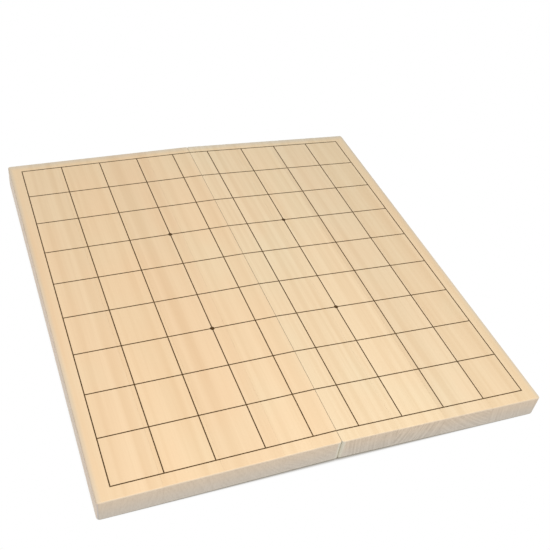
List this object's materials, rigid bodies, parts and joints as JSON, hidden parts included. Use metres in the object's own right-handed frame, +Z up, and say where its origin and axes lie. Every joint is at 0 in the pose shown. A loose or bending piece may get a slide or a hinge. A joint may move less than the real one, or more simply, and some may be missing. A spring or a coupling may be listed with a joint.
{
  "type": "shogi board",
  "caption": "Folding wooden shogi board with a ruled playing grid on top, hinged along the middle so that the halves fold underside to underside.",
  "frame": {"origin": "on the table under the middle of the fold, with the board lying open", "axes": "+X across the fold towards the right half, +Y along the fold and the long sides, +Z up from the table"},
  "size_m": [0.3348, 0.365, 0.022],
  "materials": {
    "wood": "fine straight-grained pale softwood, edge-glued staves, thin satin coat",
    "ink": "thin film of dark brown-black lacquer",
    "brass": "satin brass, lightly worn"
  },
  "bodies": {
    "left_half": {"left_stave_1": "wood", "left_stave_2": "wood", "left_stave_3": "wood", "left_stave_4": "wood", "left_grid_lines": "ink", "front_hinge_left_leaf": "brass", "front_hinge_left_screw_1": "brass", "front_hinge_left_screw_2": "brass", "front_hinge_left_screw_3": "brass", "back_hinge_left_leaf": "brass", "back_hinge_left_screw_1": "brass", "back_hinge_left_screw_2": "brass", "back_hinge_left_screw_3": "brass", "front_hinge_pin": "brass", "back_hinge_pin": "brass"},
    "right_half": {"right_stave_1": "wood", "right_stave_2": "wood", "right_stave_3": "wood", "right_stave_4": "wood", "right_grid_lines": "ink", "front_hinge_right_leaf": "brass", "front_hinge_right_screw_1": "brass", "front_hinge_right_screw_2": "brass", "front_hinge_right_screw_3": "brass", "back_hinge_right_leaf": "brass", "back_hinge_right_screw_1": "brass", "back_hinge_right_screw_2": "brass", "back_hinge_right_screw_3": "brass"}
  },
  "joints": [
    {"name": "fold", "type": "hinge", "parent": "left_half", "child": "right_half", "pos_m": [0, 0, 0.0019], "axis": [0, 1, 0], "range_deg": [0, 178.4]}
  ]
}
